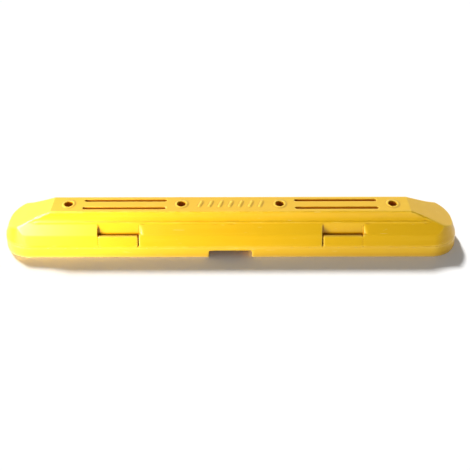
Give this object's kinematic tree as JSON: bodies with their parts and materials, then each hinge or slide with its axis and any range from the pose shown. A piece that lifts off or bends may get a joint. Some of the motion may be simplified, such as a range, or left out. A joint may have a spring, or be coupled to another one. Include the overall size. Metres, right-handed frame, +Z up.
{
  "type": "parking wheel stop",
  "caption": "Low hollow moulded wheel stop with sloping sides and ends, deck grooves, side pockets, a drain channel and loose expansion anchors standing in its fixing tubes.",
  "frame": {"origin": "middle of the footprint, on the ground", "axes": "+X along the stop, +Y across it towards the back, +Z up"},
  "size_m": [1.2, 0.172, 0.11],
  "materials": {
    "yellow_polyethylene": "semi-gloss moulded",
    "zinc_plated_steel": "bright zinc"
  },
  "bodies": {
    "shell": {"body_shell": "yellow_polyethylene"},
    "anchor_1": {"hex_bolt_1": "zinc_plated_steel", "spring_washer_1": "zinc_plated_steel", "flat_washer_1": "zinc_plated_steel", "expansion_sleeve_1": "zinc_plated_steel", "cone_nut_1": "zinc_plated_steel"},
    "anchor_2": {"hex_bolt_2": "zinc_plated_steel", "spring_washer_2": "zinc_plated_steel", "flat_washer_2": "zinc_plated_steel", "expansion_sleeve_2": "zinc_plated_steel", "cone_nut_2": "zinc_plated_steel"},
    "anchor_3": {"hex_bolt_3": "zinc_plated_steel", "spring_washer_3": "zinc_plated_steel", "flat_washer_3": "zinc_plated_steel", "expansion_sleeve_3": "zinc_plated_steel", "cone_nut_3": "zinc_plated_steel"},
    "anchor_4": {"hex_bolt_4": "zinc_plated_steel", "spring_washer_4": "zinc_plated_steel", "flat_washer_4": "zinc_plated_steel", "expansion_sleeve_4": "zinc_plated_steel", "cone_nut_4": "zinc_plated_steel"}
  },
  "joints": [
    {"name": "anchor_slide_1", "type": "slide", "parent": "shell", "child": "anchor_1", "axis": [0, 0, 1], "range_m": [-0.045, 0.12]},
    {"name": "anchor_slide_2", "type": "slide", "parent": "shell", "child": "anchor_2", "axis": [0, 0, 1], "range_m": [-0.045, 0.12]},
    {"name": "anchor_slide_3", "type": "slide", "parent": "shell", "child": "anchor_3", "axis": [0, 0, 1], "range_m": [-0.045, 0.12]},
    {"name": "anchor_slide_4", "type": "slide", "parent": "shell", "child": "anchor_4", "axis": [0, 0, 1], "range_m": [-0.045, 0.12]}
  ]
}
